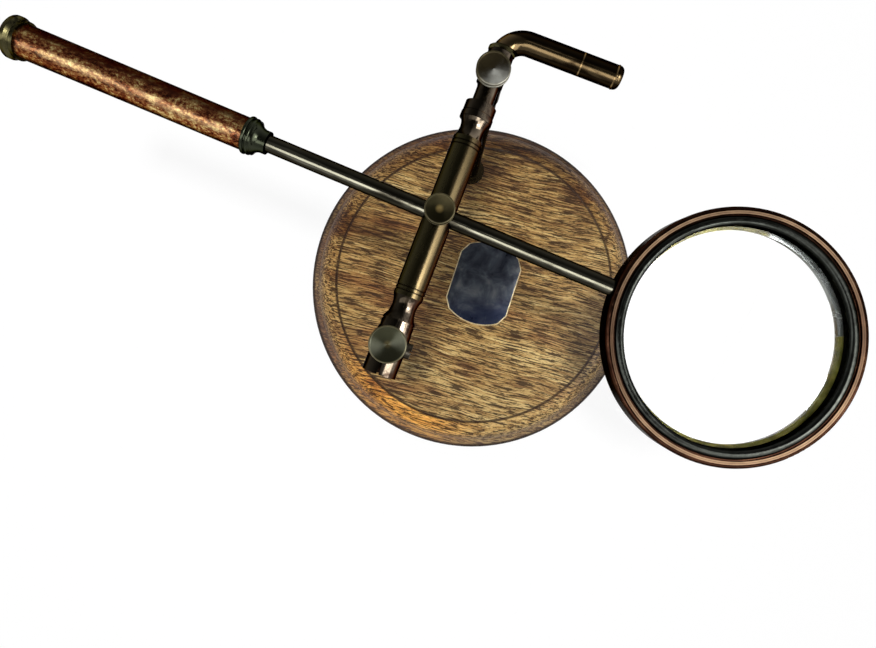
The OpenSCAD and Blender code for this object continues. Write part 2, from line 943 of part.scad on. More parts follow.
module ring_profile() {
    out_r = ring_d / 2;
    half_h = ring_h / 2;
    band_r = out_r - band_w;
    bright_out_r = band_r - bright_gap_w;
    bright_in_r = bright_out_r - bright_w;
    gap_z = half_h - bright_gap_h;
    difference() {
        union() {
            for (z = [-half_h + band_w, half_h - band_w])
                translate([band_r, z])
                    circle(r = band_w, $fn = 48);
            translate([band_r, -half_h + band_w])
                square([band_w, ring_h - 2 * band_w]);
            translate([aperture_d / 2, -half_h])
                square([band_r - aperture_d / 2, ring_h]);
        }
        translate([aperture_d / 2 - eps, seat_low])
            square([(seat_d - aperture_d) / 2 + eps, ring_h]);
        // Narrow groove outside the bright band and the step inside it
        translate([bright_out_r, gap_z])
            square([bright_gap_w, 2 * bright_gap_h]);
        translate([seat_d / 2 - eps, gap_z])
            square([bright_in_r - seat_d / 2 + eps, 2 * bright_gap_h]);
    }
}

// Frame of the lens ring: its middle, leant over about the rod
module in_ring() {
    along_rod(ring_x)
        rotate([0, 0, lens_lean])
            rotate([0, -90, 0])
                children();
}

module lens_ring() {
    color("saddlebrown")
        difference() {
            in_ring()
                rotate_extrude($fn = fine)
                    ring_profile();
            along_rod(ring_x - ring_d / 2 - eps)
                cylinder(d = tip_d + 2 * seat, h = tip_l + face_gap);
        }
}

module retaining_ring() {
    in_r = retainer_in_d / 2;
    round_r = min(retainer_w, retainer_h) * 0.42;
    color("darkslategray")
        in_ring()
            rotate_extrude($fn = fine)
                union() {
                    translate([in_r, retainer_low])
                        square([retainer_w, retainer_h - round_r]);
                    translate([in_r + round_r, retainer_low])
                        square([retainer_w - 2 * round_r, retainer_h]);
                    for (r = [in_r + round_r, in_r + retainer_w - round_r])
                        translate([r, retainer_low + retainer_h - round_r])
                            circle(r = round_r, $fn = 48);
                }
}

module lens() {
    half_edge = lens_edge_h / 2;
    color("lightcyan", 0.4)
        in_ring()
            translate([0, 0, lens_z])
                rotate_extrude($fn = fine)
                    intersection() {
                        translate([0, half_edge + lens_rise - lens_ball_r])
                            circle(r = lens_ball_r, $fn = 720);
                        translate([0, lens_ball_r - half_edge - lens_rise])
                            circle(r = lens_ball_r, $fn = 720);
                        translate([0, -ring_h])
                            square([lens_d / 2, 2 * ring_h]);
                    }
}

wood_base();
felt_pad();
name_plate();
post_flange();
post();
post_washer();
post_nut();
head_block();
swivel_screw();
head_knob();
head_stud();
boom_bar();
elbow_ferrule();
elbow_bend();
elbow_leg();
elbow_cap();
upper_collar();
barrel();
lower_collar();
lower_socket();
side_screw();
mid_knob();
mid_stud();
low_knob();
low_stud();
rod_bush();
rod();
ferrule();
grip_sleeve();
end_cap();
lens_ring();
retaining_ring();
lens();
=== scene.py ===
import math

import bpy
from mathutils import Matrix, Vector


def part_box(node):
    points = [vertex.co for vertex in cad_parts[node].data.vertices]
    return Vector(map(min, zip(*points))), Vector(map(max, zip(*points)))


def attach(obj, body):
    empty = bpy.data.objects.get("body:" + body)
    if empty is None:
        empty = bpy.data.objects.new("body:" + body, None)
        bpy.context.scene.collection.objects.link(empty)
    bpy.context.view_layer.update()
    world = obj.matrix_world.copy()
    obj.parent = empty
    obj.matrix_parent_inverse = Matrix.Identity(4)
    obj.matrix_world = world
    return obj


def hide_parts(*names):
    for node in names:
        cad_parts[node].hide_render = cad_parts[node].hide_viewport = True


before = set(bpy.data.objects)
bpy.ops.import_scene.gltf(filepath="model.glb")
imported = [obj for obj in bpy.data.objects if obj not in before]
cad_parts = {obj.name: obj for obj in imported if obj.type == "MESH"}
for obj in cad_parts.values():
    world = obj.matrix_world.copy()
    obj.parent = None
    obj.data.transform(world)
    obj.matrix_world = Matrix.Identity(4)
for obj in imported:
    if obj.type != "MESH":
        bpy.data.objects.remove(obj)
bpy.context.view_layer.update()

# Places in the stand, in metres and radians

MM = 0.001
POST_Y = 0.068
BOOM_Z = 0.161
BOOM_TURN = math.radians(22.7)
ROD_TURN = math.radians(24.6)
CROSS_S = 0.0569
LOW_SCREW_S = 0.1109
ELBOW_S = -0.019
RING_X = 0.1236
GRIP_BACK = 0.128
LENS_LEAN = math.radians(2.5)
WOOD_TOP = 0.026
PLATE_TOP = WOOD_TOP + 1.0 * MM
PLATE_MIDDLE = (0.0057, 0.0, WOOD_TOP)
ORIGIN = (0.0, 0.0, 0.0)
STRAIGHT = (0.0, 0.0, 0.0)

# In a turned frame the rod and the elbow's leg lie along the first axis, and the boom along the second

ROD_AXIS = 0
BOOM_AXIS = 1


def on_boom(along, across=0.0, up=0.0):
    """A point given by its distance from the head along the boom, across it and above its middle line."""
    c, s = math.cos(BOOM_TURN), math.sin(BOOM_TURN)
    return Vector((-s * along + c * across, POST_Y - c * along - s * across, BOOM_Z + up))


ROD_WAY = Vector((math.cos(ROD_TURN), -math.sin(ROD_TURN), 0.0))
BOOM_MIDDLE = (0.0, POST_Y, BOOM_Z)
RING_MIDDLE = on_boom(CROSS_S) + ROD_WAY * RING_X
RING_UP = Matrix.Rotation(LENS_LEAN, 3, ROD_WAY) @ Vector((0.0, 0.0, 1.0))
RING_TILT = tuple(Vector((0.0, 0.0, 1.0)).rotation_difference(RING_UP).to_euler())
BOOM_GRAIN = (0.0, 0.0, -BOOM_TURN)
ROD_GRAIN = (0.0, 0.0, -ROD_TURN)
WOOD_GRAIN = (0.0, 0.0, -math.radians(16.0))
PLATE_GRAIN = (0.0, 0.0, -math.radians(20.0))

# Where a zone of a finish starts and where it is full, in metres

CREASE_RISE = (0.0812, 0.0818)
CREASE_FALL = (0.0834, 0.0827)
COVE = (0.0815, 0.0835)
SHOULDER = (0.0895, 0.0935)
WOOD_EDGE = (0.0970, 0.0986)
BACK_OF_BASE_Y = (0.030, 0.085)
PAINTED_RIM_LIGHT_MIDDLE = (-0.052, -0.075, 0.0)
PAINTED_RIM_LIGHT_REACH = (0.062, 0.015)
PLATE_LOW_END_Y = (-0.004, -0.020)
BAND_RISE = (0.04738, 0.04750)
BAND_FALL = (0.04868, 0.04856)
BAND_HEIGHT = (0.0052, 0.0056)
HAIRLINE_RISE = (0.04792, 0.04798)
HAIRLINE_FALL = (0.04816, 0.04810)
INNER_WALL = (0.0462, 0.0456)
INNER_WALL_HEIGHT = (0.0072, 0.0066)
REFLECTION_PAINT_Y = (-0.0012, -0.0006)
REFLECTION_PAINT_HEIGHT = (-0.0008, -0.0014)
REFLECTION_PAINT_COSINE = (0.36, 0.42)
KNOB_SPOT = (0.0020, 0.0004)


# Finishes

class Value:
    """A number that varies over a surface; sums on it become Math nodes."""

    def __init__(self, finish, socket):
        self.finish = finish
        self.socket = socket

    def maths(self, operation, *others):
        inputs = dict(enumerate((self,) + others))
        return self.finish.node("ShaderNodeMath", {"operation": operation}, inputs)

    def __add__(self, other):
        return self.maths("ADD", other)

    __radd__ = __add__

    def __mul__(self, other):
        return self.maths("MULTIPLY", other)

    __rmul__ = __mul__

    def __sub__(self, other):
        return self.maths("SUBTRACT", other)

    def __rsub__(self, other):
        return (self * -1.0) + other

    def __truediv__(self, other):
        return self.maths("DIVIDE", other)

    def __pow__(self, other):
        return self.maths("POWER", other)

    def clipped(self):
        return self.finish.node("ShaderNodeClamp", {}, {"Value": self})

    def step(self, low, high):
        """0 below low, 1 above high, and smooth between; low may be the larger."""
        ends = {"Value": self, "From Min": low, "From Max": high, "To Min": 0.0, "To Max": 1.0}
        return self.finish.node("ShaderNodeMapRange", {"interpolation_type": "SMOOTHSTEP"}, ends)


def far_out(x, y):
    """How far x and y lie from 0, taken together."""
    return (x * x + y * y).maths("SQRT")


class Finish:
    """One finish of the stand: a material, its shader and the nodes that vary it."""

    def __init__(self, name, **plain):
        self.material = bpy.data.materials.new(name)
        self.material.use_nodes = True
        self.tree = self.material.node_tree
        self.shader = self.tree.nodes["Principled BSDF"]
        for socket, value in plain.items():
            self.shader.inputs[socket.replace("_", " ")].default_value = value
        self.place = self.node("ShaderNodeTexCoord", {}, {}, "Object")

    def node(self, kind, settings=None, inputs=None, output=0):
        made = self.tree.nodes.new(kind)
        for key, value in (settings or {}).items():
            if key == "stops":
                stops = made.color_ramp.elements
                while len(stops) < len(value):
                    stops.new(0.5)
                for stop, (position, colour) in zip(stops, value):
                    stop.position = position
                    stop.color = (*colour, 1.0)
            else:
                setattr(made, key, value)
        for key, value in (inputs or {}).items():
            socket = made.inputs[key]
            if isinstance(value, Value):
                self.tree.links.new(value.socket, socket)
            elif socket.type == "RGBA":
                socket.default_value = (*value, 1.0)
            else:
                socket.default_value = value
        return Value(self, made.outputs[output])

    def feed(self, **sockets):
        for name, value in sockets.items():
            self.tree.links.new(value.socket, self.shader.inputs[name.replace("_", " ")])

    def turned(self, middle, turn=STRAIGHT):
        """Places measured from middle, along axes turned by turn."""
        way = {"Vector": self.place, "Location": middle, "Rotation": turn}
        return self.node("ShaderNodeMapping", {"vector_type": "TEXTURE"}, way)

    def parts(self, place):
        split = self.node("ShaderNodeSeparateXYZ", {}, {"Vector": place})
        outputs = split.socket.node.outputs
        return [Value(self, outputs[i]) for i in range(3)]

    def stretched(self, place, factors):
        return self.node("ShaderNodeVectorMath", {"operation": "MULTIPLY"}, {0: place, 1: factors})

    def noise(self, place, scale, detail=3.0, roughness=0.55, distortion=0.0):
        knobs = {
            "Vector": place, "Scale": scale, "Detail": detail, "Roughness": roughness,
            "Distortion": distortion,
        }
        return self.node("ShaderNodeTexNoise", {}, knobs)

    def streaks(self, place, factors, detail, roughness=0.55, distortion=0.0):
        """Noise drawn out along an axis: factors are its scale along each one."""
        return self.noise(self.stretched(place, factors), 1.0, detail, roughness, distortion)

    def mix(self, share, under, over, how="MIX"):
        """Colour over laid on colour under by share."""
        kind = {"data_type": "RGBA", "blend_type": how}
        return self.node("ShaderNodeMix", kind, {0: share, 6: under, 7: over}, 2)

    def ramp(self, value, stops):
        return self.node("ShaderNodeValToRGB", {"stops": stops}, {"Fac": value})

    def bump(self, height, strength, distance):
        depth = {"Height": height, "Strength": strength, "Distance": distance}
        self.feed(Normal=self.node("ShaderNodeBump", {}, depth))

    def facing(self, place, length_axis, way):
        """How squarely a spot on a round piece faces a way across its length: 1 full on, -1 turned away."""
        u, v = [part for axis, part in enumerate(self.parts(place)) if axis != length_axis]
        return (u * way[0] + v * way[1]) / far_out(u, v)

    def radius(self, place):
        x, y, _ = self.parts(place)
        return far_out(x, y)


def metal_finish(name):
    """The start of every metal here, which turns dark and warm at a grazing view."""
    return Finish(name, Metallic=1.0, Specular_Tint=(0.12, 0.10, 0.08, 1.0))


def wax_rubbed_wood():
    """Olive-brown wood: dark pores along the grain and redder and paler zones, with painted light and shade:
    paler to the front, a golden lit spot at the lower left of the rim, a grey sheen on its shoulder, and
    shade at its back, in the groove and round the edge.
    """
    wood = Finish("wax_rubbed_wood", Specular_IOR_Level=0.2, Coat_Weight=0.05, Coat_Roughness=0.30)
    straight = wood.turned(ORIGIN, WOOD_GRAIN)
    sway = wood.streaks(straight, (11.0, 22.0, 22.0), 2.0)
    x, y, z = wood.parts(straight)
    grain = wood.node("ShaderNodeCombineXYZ", {}, {0: x, 1: y + (sway - 0.5) * 0.011, 2: z})
    zones = wood.streaks(grain, (8.0, 38.0, 38.0), 3.0, 0.6)
    fibre = wood.streaks(grain, (62.0, 950.0, 950.0), 4.0, 0.70)
    dash = wood.streaks(grain, (80.0, 1150.0, 1150.0), 3.0, 0.6)
    speck = wood.streaks(grain, (420.0, 1700.0, 1700.0), 2.0, 0.5)
    # Painted light: the wood is painted paler towards the front and a touch towards the right
    tone = ((zones - 0.5) * 0.75 + (fibre - 0.5) * 1.25 - y * 0.55 + x * 0.06 + 0.557).clipped()
    colour = wood.ramp(tone, [
        (0.26, (0.034, 0.014, 0.005)),
        (0.40, (0.115, 0.055, 0.018)),
        (0.52, (0.238, 0.133, 0.041)),
        (0.64, (0.380, 0.244, 0.083)),
        (0.80, (0.550, 0.405, 0.168)),
    ])
    colour = wood.mix(zones.step(0.50, 0.34) * 0.50, colour, (0.95, 0.62, 0.55), "MULTIPLY")
    pores = dash.step(0.505, 0.540)
    colour = wood.mix(pores * 0.90, colour, (0.020, 0.008, 0.003))
    colour = wood.mix(speck.step(0.58, 0.66) * 0.70, colour, (0.020, 0.009, 0.004))
    out = wood.radius(wood.place)
    cove = out.step(*COVE)
    # Painted light: the rim is painted paler and more golden at its lower left
    painted_light_on_rim = wood.radius(wood.turned(PAINTED_RIM_LIGHT_MIDDLE)).step(*PAINTED_RIM_LIGHT_REACH)
    colour = wood.mix(cove * 0.60, colour, (0.95, 0.84, 0.70), "MULTIPLY")
    colour = wood.mix(cove * painted_light_on_rim * 0.75, colour, (1.75, 1.25, 0.50), "MULTIPLY")
    # Painted reflection: the shoulder is painted a pale grey-brown for the sheen it shows
    shoulder = out.step(*SHOULDER)
    colour = wood.mix(shoulder * 0.50, colour, (0.120, 0.085, 0.070))
    # Painted shade: the back of the rim is painted darker
    painted_back_shade = wood.parts(wood.place)[1].step(*BACK_OF_BASE_Y) * cove
    colour = wood.mix(painted_back_shade * 0.70, colour, (0.52, 0.42, 0.38), "MULTIPLY")
    # Painted shade: the groove at the edge of the flat top is painted nearly black
    painted_groove_shade = out.step(*CREASE_RISE) * out.step(*CREASE_FALL)
    colour = wood.mix(painted_groove_shade * 0.85, colour, (0.022, 0.009, 0.004))
    # Painted shade: the outer edge, where the rim turns down, is painted nearly black
    colour = wood.mix(out.step(*WOOD_EDGE) * 0.92, colour, (0.014, 0.007, 0.005))
    wood.feed(Base_Color=colour, Roughness=zones * 0.20 + pores * 0.20 + shoulder * 0.30 + 0.34)
    wood.bump(fibre * 0.35 - pores * 0.65, 0.5, 0.0003)
    return wood


def green_felt():
    felt = Finish("green_felt", Roughness=0.95, Specular_IOR_Level=0.1)
    fuzz = felt.noise(felt.place, 1800.0, 4.0, 0.75)
    patches = felt.noise(felt.place, 60.0, 2.0)
    shade = (fuzz * 0.7 + patches * 0.3).clipped()
    felt.feed(Base_Color=felt.ramp(shade, [(0.3, (0.010, 0.040, 0.018)), (0.7, (0.040, 0.120, 0.055))]))
    felt.bump(fuzz, 0.9, 0.0004)
    return felt


def aged_brass(name, light, dark, share, rough, streak=(1.0, 1.0, 1.0), turn=STRAIGHT,
               wear_and_painted_light=None, lines=(), flanks=None, film=None):
    """Polished metal of colour light with patches of patina of colour dark over a share of it.
    The argument after the turn gives the painted light on a round piece: its middle line, its length axis,
    the way its painted lit side faces, and how squarely a spot faces that way where the painted light starts
    and is full.
    lines gives the fine turned lines: axis, place along it, half width and colour.
    flanks gives the colours of the painted shade left and right of the lit way.
    film gives the share and colour of an even tarnish over both metal and patina."""
    patina_scale = 260.0
    brass = metal_finish(name)
    place = brass.stretched(brass.turned(BOOM_MIDDLE, turn), streak)
    cloud = brass.noise(place, patina_scale * 0.35, 4.0, 0.65, 0.6)
    speck = brass.noise(place, patina_scale * 3.0, 3.0, 0.7)
    worn = (cloud * 0.72 + speck * 0.28).step(0.66 - share * 0.35, 0.38 - share * 0.10)
    colour = brass.mix(worn, light, dark)
    fine = brass.noise(brass.place, 2600.0, 2.0, 0.6)
    black = tuple(c * 0.22 for c in dark)
    colour = brass.mix(fine.step(0.60, 0.72) * 0.35, colour, black)
    if film:
        film_share, film_colour = film
        colour = brass.mix(film_share, colour, film_colour)
    # Painted light and shade: the side of a round piece that faces way keeps the metal's colour as if lit,
    # and the rest is painted dark in the flank colours
    if wear_and_painted_light:
        middle, length_axis, way, low, high = wear_and_painted_light
        around = brass.turned(middle, turn)
        bright = brass.facing(around, length_axis, way) + (cloud - 0.5) * 0.5
        flank = black
        if flanks:
            right = brass.facing(around, length_axis, (way[1], -way[0])).step(-0.2, 0.3)
            flank = brass.mix(right, *flanks)
        colour = brass.mix(bright.step(high, low) * 0.92, colour, flank)
    level = brass.parts(brass.turned(BOOM_MIDDLE, turn))
    for axis, at, half, line_colour in lines:
        line = (level[axis] - at).maths("ABSOLUTE").step(half * 1.3, half * 0.7)
        colour = brass.mix(line * 0.85, colour, line_colour)
    brass.feed(Base_Color=colour, Roughness=worn * 0.14 + fine * 0.10 + (rough - 0.05))
    brass.bump(speck * 0.6 + fine * 0.4, 0.12, 0.00012)
    return brass


def spun_brass(name, middle, radius, light, dark, lobes, sheen_turn, spot, dull):
    """Knob face turned on a lathe: fine rings about middle, and a painted sheen of spun metal in one or two
    wedges.
    spot is the share of gold in its middle, and dull how much of the metal's shine the sheen loses."""
    ripples_per_metre = 15000.0
    spun = metal_finish(name)
    x, y, _ = spun.parts(spun.turned(middle))
    out = far_out(x, y)
    ripple = (out * ripples_per_metre).maths("SINE")
    around = y.maths("ARCTAN2", x)
    # Painted sheen: one or two bright wedges round the face, set by lobes and sheen_turn; the bright part
    # loses metal by dull so that it looks lit
    bow = ((around * float(lobes) - sheen_turn * lobes).maths("COSINE") * 0.5 + 0.5) ** 2.0
    cloud = spun.noise(spun.place, 210.0, 3.0, 0.6)
    shade = (bow * 0.55 + cloud * 0.45 + ripple * 0.04 - 0.05).clipped()
    colour = spun.mix(shade.step(0.20, 0.85), dark, light)
    colour = spun.mix(out.step(*KNOB_SPOT) * spot, colour, (0.46, 0.33, 0.12))
    # Painted highlight round the rim of the face
    rim = out.step((radius - 0.85) * MM, (radius - 0.45) * MM)
    colour = spun.mix(rim * 0.25, colour, (0.30, 0.26, 0.15))
    metal = 1.0 - shade.step(0.35, 0.80) * dull
    spun.feed(Base_Color=colour, Roughness=cloud * 0.16 + 0.32, Metallic=metal)
    spun.bump(ripple, 0.18, 0.00004)
    return spun


def copper_patina():
    """Grip of red-brown copper with dark pits, painted gold along a highlight on its lit side and painted
    nearly black in shade on its far flank.
    """
    grip = metal_finish("copper_patina")
    place = grip.turned(on_boom(CROSS_S) - ROD_WAY * GRIP_BACK, ROD_GRAIN)
    cloud = grip.streaks(place, (85.0, 150.0, 150.0), 5.0, 0.72, 0.3)
    fleck = grip.streaks(place, (700.0, 1000.0, 1000.0), 4.0, 0.78)
    tone = ((cloud - 0.5) * 0.9 + (fleck - 0.5) * 1.1 + 0.5).clipped()
    colour = grip.ramp(tone, [
        (0.34, (0.030, 0.009, 0.005)),
        (0.43, (0.150, 0.036, 0.014)),
        (0.51, (0.270, 0.090, 0.036)),
        (0.59, (0.430, 0.235, 0.075)),
        (0.70, (0.800, 0.620, 0.270)),
    ])
    pits = fleck.step(0.40, 0.30)
    colour = grip.mix(pits * 0.6, colour, (0.030, 0.010, 0.006))
    # Painted light: a gold highlight along the side that faces the lit way, and painted shade, nearly black,
    # on the far flank
    bright = grip.facing(place, ROD_AXIS, (-0.42, 0.91)) + (cloud - 0.5) * 0.35
    colour = grip.mix(bright.step(0.94, 1.04) * 0.42, colour, (0.520, 0.415, 0.230))
    colour = grip.mix(bright.step(0.92, 0.60) * 0.92, colour, (0.034, 0.010, 0.006))
    grip.feed(Base_Color=colour, Roughness=cloud * 0.20 + pits * 0.25 + 0.26)
    grip.bump(fleck * 0.5 - pits * 0.5, 0.30, 0.0002)
    return grip


def ring_bands():
    """The lens ring: brown, a copper band split by a hairline, and an olive inner wall with a painted pale
    reflection at its upper right.
    """
    ring = metal_finish("ring_bands")
    x, y, z = ring.parts(ring.turned(RING_MIDDLE, RING_TILT))
    out = far_out(x, y)
    cloud = ring.noise(ring.place, 120.0, 4.0, 0.65)
    fine = ring.noise(ring.place, 1500.0, 3.0, 0.7)
    brown = ring.ramp(cloud, [
        (0.30, (0.012, 0.005, 0.003)),
        (0.55, (0.034, 0.014, 0.008)),
        (0.78, (0.075, 0.036, 0.018)),
    ])
    bright = ring.ramp(cloud, [(0.30, (0.170, 0.108, 0.064)), (0.70, (0.285, 0.185, 0.110))])
    olive = ring.ramp(cloud, [
        (0.30, (0.055, 0.050, 0.010)),
        (0.55, (0.165, 0.150, 0.032)),
        (0.80, (0.320, 0.290, 0.080)),
    ])
    band = out.step(*BAND_RISE) * out.step(*BAND_FALL) * z.step(*BAND_HEIGHT)
    inside = out.step(*INNER_WALL) * z.step(*INNER_WALL_HEIGHT)
    hairline = out.step(*HAIRLINE_RISE) * out.step(*HAIRLINE_FALL)
    across = (y * y / (out * out)).step(-0.3, 0.6)
    # Painted reflection: a pale crescent on the inner wall at its upper right, kept fully metallic
    upper_right = (x / out).step(*REFLECTION_PAINT_COSINE) * y.step(*REFLECTION_PAINT_Y)
    painted_reflection = inside * upper_right * z.step(*REFLECTION_PAINT_HEIGHT)
    colour = ring.mix(inside, brown, olive)
    colour = ring.mix(band * (1.0 - hairline * 0.8) * across, colour, bright)
    colour = ring.mix(painted_reflection, colour, (0.62, 0.66, 0.64))
    metal = 1.0 - band * 0.6 - inside * (1.0 - painted_reflection) * 0.75
    ring.feed(Base_Color=colour, Roughness=cloud * 0.12 + fine * 0.10 + band * 0.2 + 0.14, Metallic=metal)
    ring.bump(fine, 0.10, 0.0001)
    return ring


def plain_metal(name, colour, rough, grain=900.0):
    metal = metal_finish(name)
    cloud = metal.noise(metal.place, grain * 0.2, 3.0)
    fine = metal.noise(metal.place, grain, 4.0, 0.7)
    shade = (cloud * 0.5 + fine * 0.5).clipped()
    dark = tuple(c * 0.45 for c in colour)
    shaded = metal.mix(shade.step(0.62, 0.38), colour, dark)
    metal.feed(Base_Color=shaded, Roughness=fine * 0.16 + (rough - 0.05))
    metal.bump(fine, 0.12, 0.0001)
    return metal


def blue_black_plate():
    plate = Finish("blue_black_plate", Metallic=0.85)
    cloud = plate.noise(plate.place, 85.0, 4.0, 0.6, 0.5)
    wear_and_painted_light = plate.streaks(plate.turned(PLATE_MIDDLE, PLATE_GRAIN), (1500.0, 120.0, 1.0), 3.0, 0.7)
    colour = plate.ramp(cloud, [
        (0.32, (0.018, 0.021, 0.032)),
        (0.52, (0.060, 0.068, 0.086)),
        (0.74, (0.160, 0.170, 0.170)),
    ])
    low_end = plate.parts(plate.place)[1].step(*PLATE_LOW_END_Y)
    colour = plate.mix(low_end * 0.75, colour, (0.006, 0.011, 0.036))
    colour = plate.mix(wear_and_painted_light.step(0.60, 0.74) * 0.25, colour, (0.16, 0.16, 0.15))
    plate.feed(Base_Color=colour, Roughness=cloud * 0.22 + wear_and_painted_light * 0.10 + 0.16)
    plate.bump(wear_and_painted_light, 0.10, 0.00008)
    return plate


def clear_glass():
    glass = Finish(
        "clear_glass", Transmission_Weight=1.0, IOR=1.5, Roughness=0.0, Specular_IOR_Level=0.04)
    dust = glass.noise(glass.place, 900.0, 3.0, 0.7)
    faint = glass.noise(glass.place, 30.0, 2.0)
    tint = glass.mix(faint.step(0.2, 0.9) * 0.5, (1.0, 1.0, 1.0), (0.990, 0.998, 0.995))
    glass.feed(Base_Color=tint, Roughness=dust.step(0.70, 0.80) * 0.02)
    return glass


def turned_lines(axis, places, half, colour):
    """Fine lines at places along an axis, in millimetres as is their half width."""
    return [(axis, place * MM, half * MM, colour) for place in places]


# Painted light on round pieces: middle, length axis, the way the painted lit side faces, and where the
# painted light starts and is full; away from it the metal is painted in shade
ON_BARREL = (on_boom(0.0), BOOM_AXIS, (0.50, 0.87), 0.955, 1.0)
ON_BOOM = (on_boom(0.0), BOOM_AXIS, (0.45, 0.89), 0.90, 0.999)
ON_ROD = (on_boom(CROSS_S), ROD_AXIS, (-0.375, 0.927), 0.90, 0.999)
ON_ELBOW = (on_boom(ELBOW_S), ROD_AXIS, (-0.545, 0.838), 0.86, 0.998)
BARREL_GROOVES = turned_lines(BOOM_AXIS, (-27.3, -28.9, -87.7, -89.3), 0.28, (0.006, 0.004, 0.002))
ELBOW_SEAMS = turned_lines(ROD_AXIS, (30.9, 44.9), 0.25, (0.26, 0.175, 0.080))

BARREL_BRASS = aged_brass(
    "barrel_brass", (0.150, 0.110, 0.048), (0.085, 0.060, 0.026), 0.25, 0.22, (1.0, 0.35, 1.0), BOOM_GRAIN,
    ON_BARREL, BARREL_GROOVES, flanks=((0.032, 0.028, 0.013), (0.066, 0.035, 0.019)),
    film=(0.70, (0.060, 0.045, 0.024)))
OLD_BRASS = aged_brass(
    "old_brass", (0.25, 0.20, 0.145), (0.034, 0.021, 0.014), 0.30, 0.11, (1.0, 0.6, 1.0), BOOM_GRAIN,
    ON_BOOM, flanks=((0.010, 0.008, 0.005), (0.052, 0.022, 0.014)))
POST_BRASS = aged_brass(
    "post_brass", (0.09, 0.065, 0.032), (0.022, 0.015, 0.008), 0.45, 0.26, (1.0, 1.0, 0.25))
BRONZE = aged_brass(
    "dark_bronze", (0.110, 0.076, 0.037), (0.030, 0.018, 0.009), 0.40, 0.15, (0.35, 1.0, 1.0), BOOM_GRAIN,
    ON_ELBOW, ELBOW_SEAMS)
CAP_BRASS = aged_brass("olive_brass", (0.075, 0.066, 0.030), (0.012, 0.011, 0.006), 0.45, 0.22)
ROD_METAL = aged_brass(
    "rod_metal", (0.215, 0.205, 0.155), (0.070, 0.062, 0.042), 0.30, 0.12, (0.2, 1.0, 1.0), ROD_GRAIN, ON_ROD)
FERRULE_METAL = aged_brass("ferrule_metal", (0.036, 0.040, 0.026), (0.008, 0.009, 0.006), 0.50, 0.19)
SCREW_STEEL = plain_metal("screw_steel", (0.085, 0.075, 0.058), 0.30)
RETAINER = plain_metal("black_retainer", (0.030, 0.032, 0.028), 0.18, 500.0)
PLATE_EDGE = plain_metal("rubbed_plate_edge", (0.78, 0.66, 0.40), 0.30, 1200.0)
WOOD = wax_rubbed_wood()
FELT = green_felt()
COPPER = copper_patina()
RING = ring_bands()
PLATE = blue_black_plate()
GLASS = clear_glass()

COATS = {
    "wood_base": WOOD, "felt_pad": FELT, "post_flange": POST_BRASS, "post": POST_BRASS,
    "post_washer": SCREW_STEEL, "post_nut": SCREW_STEEL, "head_block": OLD_BRASS, "swivel_screw": SCREW_STEEL,
    "head_stud": SCREW_STEEL, "boom_bar": OLD_BRASS, "elbow_ferrule": CAP_BRASS, "elbow_bend": BRONZE,
    "elbow_leg": BRONZE, "elbow_cap": BRONZE, "upper_collar": OLD_BRASS, "barrel": BARREL_BRASS,
    "lower_collar": OLD_BRASS, "lower_socket": OLD_BRASS, "side_screw": SCREW_STEEL, "mid_stud": SCREW_STEEL,
    "low_stud": SCREW_STEEL, "rod_bush": CAP_BRASS, "rod": ROD_METAL, "ferrule": FERRULE_METAL,
    "grip_sleeve": COPPER, "end_cap": CAP_BRASS, "lens_ring": RING, "retaining_ring": RETAINER,
}


def coat(piece, finish):
    piece.data.materials.clear()
    piece.data.materials.append(finish.material)


for name, finish in COATS.items():
    coat(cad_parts[name], finish)


# Modelling

def deselect():
    if bpy.context.mode != "OBJECT":
        bpy.ops.object.mode_set(mode="OBJECT")
    bpy.ops.object.select_all(action="DESELECT")


def only(piece):
    deselect()
    piece.select_set(True)
    bpy.context.view_layer.objects.active = piece


def named(name):
    """The piece in hand, under its new name."""
    piece = bpy.context.active_object
    piece.name = name
    piece.data.name = name
    return piece


def settle(piece, middle, turn=STRAIGHT):
    """Puts a piece in its place and writes the place into its mesh."""
    only(piece)
    piece.rotation_mode = "XYZ"
    piece.rotation_euler = turn
    piece.location = middle
    bpy.ops.object.transform_apply(location=True, rotation=True, scale=True)


def smooth(piece, degrees):
    only(piece)
    bpy.ops.object.shade_smooth_by_angle(angle=math.radians(degrees))


def join_coplanar():
    """Joins the selected faces that lie in one plane, and leaves edit mode."""
    bpy.ops.mesh.dissolve_limited(angle_limit=math.radians(0.5))
    bpy.ops.object.mode_set(mode="OBJECT")


